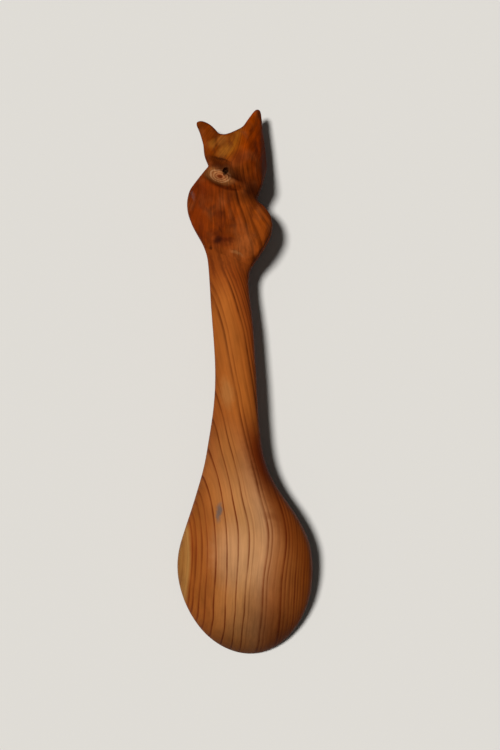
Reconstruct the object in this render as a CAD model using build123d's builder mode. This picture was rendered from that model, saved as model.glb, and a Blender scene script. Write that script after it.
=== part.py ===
"""A carved wooden love spoon with a seated cat at the top of its stem, in millimetres.

The spoon lies face down, as on a table: it rests on the tip of its bowl and on the cat's back, and the
hollow of the bowl opens downwards. +X is to the right, +Y runs from the bowl's tip to the cat's ears and
+Z is up. The origin is the middle of the whole carving, at the level that it rests on.

The blank is two blocks of wood: the spoon, and the cat that is glued and dowelled on to the end of the
stem along a slanting shoulder at its feet. The carving runs through that joint without a step, so one
carved form is made first and then sawn into its two pieces.
"""

import os
from math import cos, radians, sin, sqrt, tan

from build123d import *

# Bowl
BOWL_WIDTH = 62.0
TIP_TO_WIDEST = 41.0  # from the bowl's tip to its widest place, along the spoon
BOWL_DEPTH = 15.6  # from the bowl's widest line up to the crown of its back
WALL = 4.2  # thickness of the bowl at its crown
RIM_WIDTH = 3.2  # flat left between the hollow and the outside of the bowl
RIM_SLOPE = 11.3  # degrees that the rim rises from the tip towards the stem
RIM_TUCK = 1.3  # how far the rim lies below the bowl's widest line
RIM_ROUND = 4.2  # depth of the curve from the widest line round to the rim
HOLLOW_PAST_WIDEST = 38.0  # reach of the hollow towards the stem
FACE_PAST_WIDEST = 14.0  # from the widest place to where the flat front starts to curve into the stem
FACE_RUN_OUT = 2.0  # how far below the stem's underside that curve ends
TIP_FLAT = 0.6  # taken off under the tip, so that it rests flat

# Stem
SHOULDER_LENGTH = 70.0  # from the bowl's widest place to where the stem is even
STEM_LENGTH = 65.0  # from there to the cat's feet
STEM_LEFT = 8.3  # stem's left edge from the spoon's centre line
STEM_RIGHT = 10.2  # stem's right edge from the spoon's centre line
STEM_TOP = 6.2  # crown of the stem above its edges
STEM_UNDER = 5.2  # underside of the stem below its edges
NECK_HEIGHT = 16.4  # height of the stem's edges where it leaves the bowl
FOOT_HEIGHT = 12.8  # height of the stem's edges where it meets the cat

# Cat: each mass is an ellipsoid, given by its middle from the centre line and from the cat's feet, its half
# sizes across, along and through the cat, and the degrees that it leans to the left
CAT_HEIGHT = 74.0  # from the feet to the tip of the taller ear
CHEST = {"middle": (-0.9, 30.2), "half": (15.6, 19.4, 12.4), "lean": -3.0}
HAUNCH = {"middle": (8.5, 20.4), "half": (13.0, 13.6, 11.4), "lean": 0.0}
NAPE = {"middle": (10.6, 44.0), "half": (8.6, 14.5, 9.0), "lean": -17.0}
HEAD = {"middle": (7.0, 53.2), "half": (14.6, 11.2, 10.4), "lean": -4.0}
BACK_FLAT = 0.4  # pared off the cat's back, so that it rests flat

# Ears: middle of the base and tip, from the centre line and from the cat's feet, and half the base's width
LEFT_EAR = {"base": (-2.9, 57.0), "tip": (-8.7, 69.0), "half_width": 4.6}
RIGHT_EAR = {"base": (13.2, 58.0), "tip": (17.4, CAT_HEIGHT), "half_width": 6.2}
EAR_HALF_THICKNESS = 4.5
EAR_TIP_RADIUS = 1.1
EAR_HOLLOW = 0.8  # power that draws an ear's sides in towards its tip

# Joint between the stem and the cat
JOINT_FROM_FEET = 7.0
JOINT_FROM_CENTRE = 1.0  # to the right of the spoon's centre line
JOINT_SLANT = 24.0  # degrees from square across the stem
DOWEL_DIAMETER = 6.0
DOWEL_LENGTH = 36.0
GLUE_GAP = 0.05  # room for glue round the dowel and at each of its ends

# Angles round the blunt end of the bowl, from its tip, at which it has a section
TIP_ANGLES = (20, 42, 64, 90)

# Shoulder: share of its length, then how much of what the bowl has more than the stem is left there, on the
# left side, on the right side and in depth
SHOULDER = [
    (0.20, 0.895, 0.905, 0.84),
    (0.40, 0.650, 0.560, 0.60),
    (0.60, 0.415, 0.190, 0.31),
    (0.80, 0.235, 0.035, 0.12),
    (1.00, 0.095, 0.000, 0.02),
]

# Stem: share of its length, then how far its left and its right edge swell there. It runs on into the cat.
STEM = [
    (0.26, -0.2, 0.0),
    (0.52, -0.3, 0.1),
    (0.76, 0.0, -0.4),
    (0.93, 0.0, -1.2),
    (1.06, 0.1, 2.2),
    (1.18, 0.7, 6.2),
    (1.31, 0.8, 7.0),
]

# Distances from the bowl's tip
NECK = TIP_TO_WIDEST + SHOULDER_LENGTH
FEET = NECK + STEM_LENGTH
LENGTH = FEET + CAT_HEIGHT

BOWL_HALF = BOWL_WIDTH / 2
CAT_MIDDLE = CHEST["half"][2] - BACK_FLAT  # height of the middle of the cat's thickness
CUT_REACH = 40.0  # how far a cutting block reaches past the carving


def along(distance):
    """Y of a distance from the bowl's tip."""
    return distance - LENGTH / 2


def rim_height(distance):
    """Height of the plane of the rim at a distance from the bowl's tip."""
    return distance * tan(radians(RIM_SLOPE)) - TIP_FLAT


def blend(start, end, share):
    """Value a share of the way from start to end."""
    return start + (end - start) * share


def section(distance, left, right, edge, top, under):
    """Face across the spoon: a half ellipse over the line between its edges, and another under it."""
    middle = ((left + right) / 2, edge)
    half = (right - left) / 2
    with BuildSketch(Plane.XZ.offset(-along(distance))) as face:
        with BuildLine():
            EllipticalCenterArc(middle, half, top, start_angle=0, arc_size=90)
            EllipticalCenterArc(middle, half, top, start_angle=90, arc_size=90)
            EllipticalCenterArc(middle, half, under, start_angle=180, arc_size=90)
            EllipticalCenterArc(middle, half, under, start_angle=270, arc_size=90)
        make_face()
    return face.sketch.face()


def bowl_sections():
    """Blunt end of the bowl, from its tip to its widest place."""
    yield Vertex(0, along(0), rim_height(0) + RIM_TUCK)
    for angle in TIP_ANGLES:
        reach = sin(radians(angle))
        distance = TIP_TO_WIDEST * (1 - cos(radians(angle)))
        half = BOWL_HALF * reach
        edge = rim_height(distance) + RIM_TUCK
        yield section(distance, -half, half, edge, BOWL_DEPTH * reach, RIM_ROUND * reach)


def shoulder_sections():
    """From the bowl's widest place into the stem."""
    widest_edge = rim_height(TIP_TO_WIDEST) + RIM_TUCK
    for share, left, right, depth in SHOULDER:
        yield section(
            TIP_TO_WIDEST + SHOULDER_LENGTH * share,
            -blend(STEM_LEFT, BOWL_HALF, left),
            blend(STEM_RIGHT, BOWL_HALF, right),
            blend(widest_edge, NECK_HEIGHT, sin(radians(90 * share))),
            blend(STEM_TOP, BOWL_DEPTH, depth),
            blend(STEM_UNDER, RIM_ROUND, depth),
        )


def stem_sections():
    """Along the stem and into the cat."""
    for share, left, right in STEM:
        distance = NECK + STEM_LENGTH * share
        edge = blend(NECK_HEIGHT, FOOT_HEIGHT, share)
        yield section(distance, -STEM_LEFT - left, STEM_RIGHT + right, edge, STEM_TOP, STEM_UNDER)


def ear_sections(base, tip, half_width):
    """From inside the head to the rounded tip of an ear."""
    for share in (0, 0.55, 1):
        slim = (1 - share) ** EAR_HOLLOW
        middle = blend(base[0], tip[0], share)
        half = blend(EAR_TIP_RADIUS, half_width, slim)
        thick = blend(EAR_TIP_RADIUS, EAR_HALF_THICKNESS, slim)
        distance = FEET + blend(base[1], tip[1], share)
        yield section(distance, middle - half, middle + half, CAT_MIDDLE, thick, thick)


# Hollow of the bowl: an egg, flattened to its depth, whose widest section lies in the plane of the rim
rim_share = sqrt(1 - (RIM_TUCK / RIM_ROUND) ** 2)  # how much of the bowl's width is left at its rim
hollow_half = BOWL_HALF * rim_share - RIM_WIDTH
hollow_to_tip = (TIP_TO_WIDEST * rim_share - RIM_WIDTH) / cos(radians(RIM_SLOPE))
hollow_depth = (BOWL_DEPTH + RIM_TUCK) * cos(radians(RIM_SLOPE)) - WALL
rim_plane = Plane(
    origin=(0, along(TIP_TO_WIDEST), rim_height(TIP_TO_WIDEST)),
    x_dir=(0, cos(radians(RIM_SLOPE)), sin(radians(RIM_SLOPE))),
    z_dir=(0, -sin(radians(RIM_SLOPE)), cos(radians(RIM_SLOPE))),
)
with BuildPart() as hollow:
    with BuildSketch():
        with BuildLine():
            EllipticalCenterArc((0, 0), HOLLOW_PAST_WIDEST, hollow_half, start_angle=0, arc_size=90)
            EllipticalCenterArc((0, 0), hollow_to_tip, hollow_half, start_angle=90, arc_size=90)
            Line((-hollow_to_tip, 0), (HOLLOW_PAST_WIDEST, 0))
        make_face()
    revolve(axis=Axis.X)
    scale(by=(1, 1, hollow_depth / hollow_half))

# Masses of the cat
masses = []
for mass in (CHEST, HAUNCH, NAPE, HEAD):
    with BuildPart() as ellipsoid:
        Sphere(1)
        scale(by=mass["half"])
    x, y = mass["middle"]
    place = Location((x, along(FEET + y), CAT_MIDDLE), (0, 0, mass["lean"]))
    masses.append(place * ellipsoid.part)

# Whole carving: its front cut to the rim and on into the stem, its bowl hollowed, and its underside pared
# flat where it rests
face_bend = TIP_TO_WIDEST + FACE_PAST_WIDEST
with BuildPart() as carving:
    loft([*bowl_sections(), *shoulder_sections(), *stem_sections()])
    add(masses)
    for ear in (LEFT_EAR, RIGHT_EAR):
        loft(list(ear_sections(**ear)))
    with BuildSketch(Plane.YZ):
        with BuildLine():
            outer = (along(-CUT_REACH), rim_height(-CUT_REACH))
            bend = (along(face_bend), rim_height(face_bend))
            run_out = (along(NECK), NECK_HEIGHT - STEM_UNDER - FACE_RUN_OUT)
            face = Line(outer, bend)
            TangentArc(bend, run_out, tangent=face % 1)
            Polyline(run_out, (run_out[0], -CUT_REACH), (outer[0], -CUT_REACH), outer)
        make_face()
    extrude(amount=BOWL_WIDTH, both=True, mode=Mode.SUBTRACT)
    with Locations(rim_plane):
        add(hollow.part, mode=Mode.SUBTRACT)
    split(bisect_by=Plane.XY, keep=Keep.TOP)

# Joint: the plane of the glued shoulder, and the dowel along the stem through its middle
joint_middle = (JOINT_FROM_CENTRE, along(FEET + JOINT_FROM_FEET), FOOT_HEIGHT)
shoulder_plane = Plane(
    origin=joint_middle,
    x_dir=(0, 0, 1),
    z_dir=(sin(radians(JOINT_SLANT)), cos(radians(JOINT_SLANT)), 0),
)
dowel_place = Location(joint_middle, (90, 0, 0))
socket_radius = DOWEL_DIAMETER / 2 + GLUE_GAP
socket_length = DOWEL_LENGTH + 2 * GLUE_GAP

# Spoon: bowl and stem in one piece
with BuildPart() as spoon:
    add(carving.part)
    split(bisect_by=shoulder_plane, keep=Keep.BOTTOM)
    with Locations(dowel_place):
        Cylinder(socket_radius, socket_length, mode=Mode.SUBTRACT)

# Cat: body, head and ears in one piece
with BuildPart() as cat_figure:
    add(carving.part)
    split(bisect_by=shoulder_plane, keep=Keep.TOP)
    with Locations(dowel_place):
        Cylinder(socket_radius, socket_length, mode=Mode.SUBTRACT)

# Dowel, hidden in both
with BuildPart() as joint_dowel:
    with Locations(dowel_place):
        Cylinder(DOWEL_DIAMETER / 2, DOWEL_LENGTH)

os.makedirs("parts", exist_ok=True)
spoon.part.label = "spoon"
cat_figure.part.label = "cat_figure"
joint_dowel.part.label = "joint_dowel"
export_step(spoon.part, "parts/spoon.step")
export_step(cat_figure.part, "parts/cat_figure.step")
export_step(joint_dowel.part, "parts/joint_dowel.step")
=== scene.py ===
# %% [markdown]
# # A carved love spoon with a seated cat
#
# The spoon lies face down, so what shows is the round back of its bowl, its stem and the cat at the top. A
# carver works such a thing from the outside in: saw the outline, round it over, hollow the bowl, then
# smooth and oil it. This lesson follows that order. The CAD model is the frame underneath, and every place
# is measured from the tip of its bowl.

# %% Load the frame
from math import cos, radians, sin, tan

import bmesh
import bpy
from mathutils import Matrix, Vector


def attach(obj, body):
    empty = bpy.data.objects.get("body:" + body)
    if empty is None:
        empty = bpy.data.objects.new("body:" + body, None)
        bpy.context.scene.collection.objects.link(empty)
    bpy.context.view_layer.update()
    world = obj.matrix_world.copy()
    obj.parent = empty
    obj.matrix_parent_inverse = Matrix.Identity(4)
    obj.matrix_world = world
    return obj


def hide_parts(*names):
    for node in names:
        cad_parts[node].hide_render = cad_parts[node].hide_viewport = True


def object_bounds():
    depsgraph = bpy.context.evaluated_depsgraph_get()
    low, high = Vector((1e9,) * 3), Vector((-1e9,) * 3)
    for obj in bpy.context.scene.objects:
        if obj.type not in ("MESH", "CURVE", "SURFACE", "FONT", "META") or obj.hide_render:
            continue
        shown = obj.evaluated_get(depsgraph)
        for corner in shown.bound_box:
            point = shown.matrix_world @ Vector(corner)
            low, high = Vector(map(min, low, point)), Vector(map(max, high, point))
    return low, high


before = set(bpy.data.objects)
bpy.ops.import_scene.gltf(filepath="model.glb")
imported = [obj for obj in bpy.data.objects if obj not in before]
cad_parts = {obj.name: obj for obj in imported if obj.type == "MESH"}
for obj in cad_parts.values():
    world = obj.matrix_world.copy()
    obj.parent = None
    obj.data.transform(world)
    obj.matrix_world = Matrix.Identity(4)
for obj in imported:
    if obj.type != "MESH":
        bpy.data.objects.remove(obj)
cad_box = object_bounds()

MM = 0.001
tip_y = cad_box[0].y


def spot(across, along, height):
    """A place given in millimetres: across the spoon, along it from the bowl's tip, and above the floor."""
    return Vector((across * MM, tip_y + along * MM, height * MM))


def in_mm(sizes):
    """Sizes in metres as rounded millimetres, for printing."""
    return [round(size / MM, 1) for size in sizes]


print("nodes", sorted(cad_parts))
print("CAD box in mm", [in_mm(corner) for corner in cad_box])

# %% [markdown]
# ## Camera, floor and light
#
# The photograph looks straight down from about 56 cm above the floor, with the spoon leaning a little to
# the left in the picture. The spoon stays straight in its own frame, so the camera turns instead.
#
# The floor is a plain pale sheet. One soft lamp stands far off to the upper left, because the right flank
# of the bowl and the cat lies in shade. Little light comes back into that shade, so the floor and the
# world look pale to the camera but light the wood only a little: a Light Path node tells the two apart.

# %% Camera
CAMERA_OVER = (7.5, 129.4)  # the place that it looks down on, across and along, in mm
CAMERA_HEIGHT = 560
LEAN = 3.33  # degrees that the spoon leans to the left in the picture
SENSOR = 36.0
IMAGE_HEIGHT = 750
FOCAL_PIXELS = 1203

bpy.ops.object.camera_add(location=spot(*CAMERA_OVER, CAMERA_HEIGHT), rotation=(0, 0, -radians(LEAN)))
camera = bpy.context.object
camera.data.sensor_width = SENSOR
camera.data.lens = SENSOR * FOCAL_PIXELS / IMAGE_HEIGHT
bpy.context.scene.camera = camera
print("lens", round(camera.data.lens, 2), "mm")

# %% Helpers for every colour and node


def linear(hex_colour):
    """An sRGB colour such as "c89a5e" as linear red, green, blue and alpha."""
    channels = [int(hex_colour[at:at + 2], 16) / 255 for at in (0, 2, 4)]
    return [c / 12.92 if c < 0.04045 else ((c + 0.055) / 1.055) ** 2.4 for c in channels] + [1.0]


def add(tree, kind, inputs, stops=(), between="LINEAR", **settings):
    """Adds a node with its settings, its inputs (a socket is linked, a value set) and a ramp's stops."""
    node = tree.nodes.new("ShaderNode" + kind)
    for name, value in settings.items():
        setattr(node, name, value)
    for name, value in inputs.items():
        if isinstance(value, bpy.types.NodeSocket):
            tree.links.new(value, node.inputs[name])
        else:
            node.inputs[name].default_value = value
    for at, (place, colour) in enumerate(stops):
        if at > 1:
            node.color_ramp.elements.new(1.0)
        node.color_ramp.elements[at].position = place
        node.color_ramp.elements[at].color = colour
        node.color_ramp.interpolation = between
    return node.outputs[0]


def in_view(tree):
    """1 for light that ends in the camera, straight or by gloss or glass, and 0 for light on the wood."""
    path = add(tree, "LightPath", {}).node.outputs
    view = add(tree, "Math", {0: path["Is Camera Ray"], 1: path["Is Glossy Ray"]}, operation="ADD")
    return add(tree, "Math", {0: view, 1: path["Is Transmission Ray"]}, operation="ADD", use_clamp=True)


print("white is", linear("ffffff"))

# %% Floor
FLOOR_WIDTH = 40.0  # in metres, so that no edge shows from any side
FLOOR_SEEN = "dedbd5"
FLOOR_BOUNCE = "76604a"
PAPER_ROUGHNESS = 0.9
PAPER_SHINE = 0.1

bpy.ops.mesh.primitive_plane_add(size=FLOOR_WIDTH)
floor = bpy.context.object
floor.name = "floor"

# Matt paper spreads the light evenly, so all that the eye sees on it is the spoon's shadow.
paper = bpy.data.materials.new("pale_floor_paper")
paper.use_nodes = True
tree = paper.node_tree
tint = add(tree, "MixRGB", {
    "Fac": in_view(tree), "Color1": linear(FLOOR_BOUNCE), "Color2": linear(FLOOR_SEEN),
})
shader = tree.nodes["Principled BSDF"]
tree.links.new(tint, shader.inputs["Base Color"])
shader.inputs["Roughness"].default_value = PAPER_ROUGHNESS
shader.inputs["Specular IOR Level"].default_value = PAPER_SHINE
floor.data.materials.append(paper)
print("floor", floor.dimensions.x, "m wide")

# %% Lamp and world
LAMP_FROM = Vector((-0.56, 0.30, 1.42))
LAMP_STRENGTH = 3.3  # in watts per square metre: white paper that faces it renders as white
LAMP_WIDTH = 13.0  # degrees that the lamp fills, seen from the spoon
WORLD_SEEN = 1.0
WORLD_FILL = 0.07

bpy.ops.object.light_add(type="SUN", location=LAMP_FROM)
lamp = bpy.context.object
lamp.rotation_euler = (-LAMP_FROM).to_track_quat("-Z", "Y").to_euler()
lamp.data.energy = LAMP_STRENGTH
lamp.data.angle = radians(LAMP_WIDTH)

world = bpy.data.worlds.new("studio")
world.use_nodes = True
tree = world.node_tree
strength = add(tree, "MapRange", {"Value": in_view(tree), "To Min": WORLD_FILL, "To Max": WORLD_SEEN})
tree.links.new(strength, tree.nodes["Background"].inputs["Strength"])
tree.nodes["Background"].inputs["Color"].default_value = linear(FLOOR_SEEN)
bpy.context.scene.world = world
bpy.context.scene.view_settings.view_transform = "Standard"
print("lamp", round(lamp.data.energy, 2), "W/m2 from", [round(c, 2) for c in LAMP_FROM])

# %% [markdown]
# ## The spoon's outside
#
# The bowl and stem are one long rounded form. A carver shapes it by eye from section to section, and this
# step too goes from section to section: a ring of points is set at each station along the spoon, its upper
# half is pulled up to the crown and its lower half is pressed flat or rounded, and the rings are bridged
# into one skin.
# Subdivision then fairs the skin. Rings were chosen over a stretched ball because the left and right edges
# differ all the way.

# %% Stations along the spoon
RIM_SLOPE = 11.3  # degrees that the rim rises from the tip towards the stem
BOWL_HALF = 31.2
TIP_TO_WIDEST = 41.0
BOWL_DEPTH = 15.9
TIP_SHIFT = 1.2  # how far the tip lies to the right of the widest place's middle
BLUNTNESS = 1.06  # 1 is an ellipse, more is a more pointed end
RIM_TUCK = 1.5
RIM_LIFT = 0.9  # height of the bowl's edge at the very tip
BOWL_ANGLES = (6, 15, 25, 36, 48, 62, 76, 90)  # degrees round the blunt end, from the tip


def bowl_station(angle):
    """Section of the blunt end: along, left, right, edge height, crown over it, underside below it."""
    share = sin(radians(angle)) ** BLUNTNESS
    along = TIP_TO_WIDEST * (1 - cos(radians(angle)))
    edge = RIM_LIFT + along * tan(radians(RIM_SLOPE))
    middle = TIP_SHIFT * cos(radians(angle))
    half = BOWL_HALF * share
    return along, middle - half, middle + half, edge, BOWL_DEPTH * share, RIM_TUCK * share


STATIONS = [bowl_station(angle) for angle in BOWL_ANGLES]
STATIONS += [  # the same sizes, in mm, from the widest place up the shoulder and the stem
    (50, -30.3, 30.7, 10.5, 14.9, 1.3),
    (58, -27.5, 28.1, 11.8, 13.6, 1.1),
    (67, -23.7, 23.7, 13.1, 12.1, 1.1),
    (76, -20.4, 17.5, 13.6, 11.2, 1.2),
    (85, -17.0, 13.3, 14.0, 10.2, 1.7),
    (94, -14.4, 10.9, 14.3, 9.3, 2.6),
    (104, -12.3, 10.4, 15.0, 8.1, 3.9),
    (115, -9.9, 10.2, 15.5, 7.1, 4.7),
    (127, -8.4, 10.3, 15.5, 6.3, 5.2),
    (139, -7.9, 10.4, 14.8, 6.2, 5.2),
    (150, -8.2, 10.4, 14.2, 6.2, 5.2),
    (162, -8.4, 9.7, 13.5, 6.2, 5.2),
    (172, -8.4, 8.9, 13.0, 6.2, 5.2),
    (181, -8.5, 11.0, 12.6, 6.0, 5.2),
    (190, -8.6, 14.0, 12.2, 5.6, 5.2),
]
print(len(STATIONS), "stations over", STATIONS[-1][0], "mm")

# %% One ring
RING_POINTS = 32
FAIRING = 3 / (2 + cos(radians(360 / RING_POINTS)))  # makes up for subdivision, which draws a ring in
SAME_PLACE = 0.01  # mm within which two places count as one
FLAT_UNTIL = 80  # the front of the spoon is flat from the tip to here
FULL_UNTIL = 72  # the back of the bowl is fuller than an ellipse from the tip to here
FULL_BAND = (0.3, 0.93)  # shares of the crown's height between which it is fuller
FULLNESS = 1.05  # how far it is drawn out there


def pick(test):
    """In edit mode, selects the points whose place passes a test, and no others."""
    points = bmesh.from_edit_mesh(bpy.context.object.data)
    for point in points.verts:
        point.select = test(point.co)
    points.select_flush_mode()
    bmesh.update_edit_mesh(bpy.context.object.data)


def add_ring(along, left, right, edge, crown, under):
    """One section in edit mode: a circle whose upper and lower halves are drawn to their own depths."""
    half = (right - left) / 2 * FAIRING
    middle = spot((left + right) / 2, along, edge)
    bpy.ops.mesh.primitive_circle_add(
        vertices=RING_POINTS, radius=half * MM, location=middle, rotation=(radians(90), 0, 0)
    )
    near = SAME_PLACE * MM
    pick(lambda p: abs(p.y - middle.y) < near and p.z > middle.z + near)
    bpy.ops.transform.resize(value=(1, 1, crown / half * FAIRING), center_override=middle)
    if along < FULL_UNTIL:
        low, high = (middle.z + crown * share * MM for share in FULL_BAND)
        pick(lambda p: abs(p.y - middle.y) < near and low < p.z < high)
        bpy.ops.transform.resize(value=(FULLNESS, 1, FULLNESS), center_override=middle)
    pick(lambda p: abs(p.y - middle.y) < near and p.z < middle.z - near)
    if along < FLAT_UNTIL:
        rim = spot(0, along, edge - under)
        bpy.ops.transform.resize(value=(1, 1, 0), center_override=rim)
    else:
        bpy.ops.transform.resize(value=(1, 1, under / half * FAIRING), center_override=middle)


print("a ring has", RING_POINTS, "points")

# %% Rings, bridged into a skin


def close_end(along):
    """Fills the ring at one end of the skin."""
    end_y = spot(0, along, 0).y
    pick(lambda p: abs(p.y - end_y) < SAME_PLACE * MM)
    bpy.ops.mesh.edge_face_add()


bpy.ops.mesh.primitive_circle_add(vertices=RING_POINTS, radius=MM)
carving = bpy.context.object
carving.name = "carving"
bpy.ops.object.mode_set(mode="EDIT")
bpy.ops.mesh.delete(type="VERT")
for station in STATIONS:
    add_ring(*station)
bpy.ops.mesh.select_all(action="SELECT")
bpy.ops.mesh.bridge_edge_loops()
close_end(STATIONS[0][0])
close_end(STATIONS[-1][0])
bpy.ops.mesh.select_all(action="SELECT")
bpy.ops.mesh.normals_make_consistent(inside=False)
bpy.ops.object.mode_set(mode="OBJECT")
print("skin has", len(carving.data.polygons), "faces")

# %% Fair the skin
FAIRING_LEVELS = 2


def work_on(piece):
    """Selects one piece alone and makes it the active one."""
    bpy.ops.object.select_all(action="DESELECT")
    bpy.context.view_layer.objects.active = piece
    piece.select_set(True)


def finish_with(piece, kind, **settings):
    """Adds a modifier with its settings to a piece and applies it."""
    work_on(piece)
    modifier = piece.modifiers.new(kind.lower(), kind)
    for name, value in settings.items():
        setattr(modifier, name, value)
    bpy.ops.object.modifier_apply(modifier=modifier.name)


finish_with(carving, "SUBSURF", levels=FAIRING_LEVELS, render_levels=FAIRING_LEVELS)
print("faired skin in mm", in_mm(carving.dimensions))

# %% [markdown]
# ## The hollow of the bowl
#
# The hollow is on the side that lies down. It is cut as a bent gouge cuts it: an egg, wider in the middle
# and drawn out towards the stem, whose widest section lies in the plane of the rim. A ball is stretched to
# that egg and taken away from the bowl, which leaves the rim as a flat band.

# %% Egg-shaped cut
HOLLOW_ACROSS = 0.2  # how far the hollow's middle lies to the right
HOLLOW_HALF = 26.4
HOLLOW_TO_TIP = 36.0
HOLLOW_TO_STEM = 39.0
HOLLOW_DEPTH = 12.6
BALL_SEGMENTS = 64
rim_at_widest = RIM_LIFT + TIP_TO_WIDEST * tan(radians(RIM_SLOPE)) - RIM_TUCK


def cut_away(piece, cutter, operation="DIFFERENCE"):
    """Cuts one piece with another, and removes the cutter."""
    finish_with(piece, "BOOLEAN", operation=operation, object=cutter, solver="EXACT")
    bpy.data.objects.remove(cutter)


hollow_middle = spot(HOLLOW_ACROSS, TIP_TO_WIDEST, rim_at_widest)
bpy.ops.mesh.primitive_uv_sphere_add(
    segments=BALL_SEGMENTS, ring_count=BALL_SEGMENTS // 2, radius=MM, location=hollow_middle
)
egg = bpy.context.object
bpy.ops.object.transform_apply()
bpy.ops.object.mode_set(mode="EDIT")
bpy.ops.transform.resize(value=(HOLLOW_HALF, 1, HOLLOW_DEPTH), center_override=hollow_middle)
pick(lambda p: p.y > hollow_middle.y)
bpy.ops.transform.resize(value=(1, HOLLOW_TO_STEM, 1), center_override=hollow_middle)
pick(lambda p: p.y < hollow_middle.y)
bpy.ops.transform.resize(value=(1, HOLLOW_TO_TIP, 1), center_override=hollow_middle)
bpy.ops.mesh.select_all(action="SELECT")
bpy.ops.transform.rotate(value=-radians(RIM_SLOPE), orient_axis="X", center_override=hollow_middle)
bpy.ops.object.mode_set(mode="OBJECT")
print("egg in mm", in_mm(egg.dimensions))
cut_away(carving, egg)
print("hollowed carving has", len(carving.data.polygons), "faces")

# %% [markdown]
# ## The cat's body
#
# A carver saws the figure's outline from a board and then rounds it over. The outline is traced here as a
# saw follows it, by drawing one point on from place to place, and is raised to a board. Three stretched
# balls, the chest, the haunch and the feet, say how round the body is, and what lies outside them is cut
# off the board. Smoothing takes the sawn corners off, and a fourth ball scoops out the throat.

# %% Saw a board to an outline
BOARD = 26  # thickness of the board, in mm
BOARD_FROM = -1  # below the floor: the back is pared later


def saw_board(outline):
    """A board as thick as BOARD, with an outline given by its corners across and along the spoon."""
    bpy.ops.mesh.primitive_plane_add(size=MM, location=spot(*outline[0], BOARD_FROM))
    bpy.ops.object.transform_apply()
    bpy.ops.object.mode_set(mode="EDIT")
    bpy.ops.mesh.merge(type="CENTER")
    for here, there in zip(outline, outline[1:]):
        step = spot(*there, 0) - spot(*here, 0)
        bpy.ops.mesh.extrude_region_move(TRANSFORM_OT_translate={"value": step})
    bpy.ops.mesh.select_all(action="SELECT")
    bpy.ops.mesh.edge_face_add()
    bpy.ops.mesh.extrude_region_move(TRANSFORM_OT_translate={"value": (0, 0, BOARD * MM)})
    bpy.ops.mesh.select_all(action="SELECT")
    bpy.ops.mesh.normals_make_consistent(inside=False)
    bpy.ops.object.mode_set(mode="OBJECT")
    return bpy.context.object


BODY_OUTLINE = [  # across and along, in mm, from the left foot up over the shoulder and down the haunch
    (-8.4, 171.5), (-8.6, 184.0), (-10.4, 190.0), (-14.6, 198.2), (-16.4, 204.0), (-16.6, 209.0),
    (-15.1, 214.4), (-9.9, 220.4), (-5.6, 225.6), (2.0, 228.0), (12.0, 222.0), (16.0, 213.0),
    (14.6, 208.0), (18.0, 206.2), (21.2, 201.2), (21.8, 196.2), (20.7, 192.0), (15.9, 184.6),
    (10.6, 177.6), (8.6, 171.5),
]
body = saw_board(BODY_OUTLINE)
print("body board in mm", in_mm(body.dimensions))

# %% Round the body over
CHEST = {"middle": (-1.5, 203.5, 12.05), "half": (19.5, 25.0, 12.3), "lean": -4}
HAUNCH = {"middle": (10.0, 194.5, 11.8), "half": (16.0, 18.0, 11.0), "lean": 10}
FEET = {"middle": (0.8, 180.0, 13.2), "half": (10.5, 19.0, 5.8), "lean": 0}
THROAT = {"middle": (2.0, 222.3, 25.5), "half": (15.0, 9.0, 11.2), "lean": -28}
SMOOTH_FACTOR = 0.5  # how far one pass of smoothing moves a point


def add_ball(middle, half, lean, segments=BALL_SEGMENTS):
    """A ball stretched to its half sizes, leaning to the left by some degrees."""
    bpy.ops.mesh.primitive_uv_sphere_add(
        segments=segments, ring_count=segments // 2, radius=MM, scale=half, location=spot(*middle),
        rotation=(0, 0, radians(lean)),
    )
    bpy.ops.object.transform_apply()
    return bpy.context.object


def melt(pieces, voxel, passes):
    """Joins overlapping pieces into the first one, as one skin of small squares in mm, and smooths it."""
    bpy.ops.object.select_all(action="DESELECT")
    for piece in pieces:
        piece.select_set(True)
    bpy.context.view_layer.objects.active = pieces[0]
    bpy.ops.object.join()
    finish_with(pieces[0], "REMESH", mode="VOXEL", voxel_size=voxel * MM)
    finish_with(pieces[0], "SMOOTH", factor=SMOOTH_FACTOR, iterations=passes)
    return pieces[0]


masses = melt([add_ball(**CHEST), add_ball(**HAUNCH), add_ball(**FEET)], voxel=0.8, passes=60)
cut_away(body, masses, "INTERSECT")
melt([body], voxel=0.7, passes=30)
cut_away(body, add_ball(**THROAT))
melt([body], voxel=0.6, passes=16)
print("body has", len(body.data.polygons), "faces,", in_mm(body.dimensions), "mm")

# %% [markdown]
# ## The cat's head
#
# The head is cut in planes, as a knife leaves it: a broad face that looks to the upper left, a steep side
# that falls away to the right, and a ridge between them that runs up into the right ear. The ears thin
# towards their tips, and the back of the neck slopes down to the haunch. So a second board is sawn, and
# pared by bisecting it with one plane after another.

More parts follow.
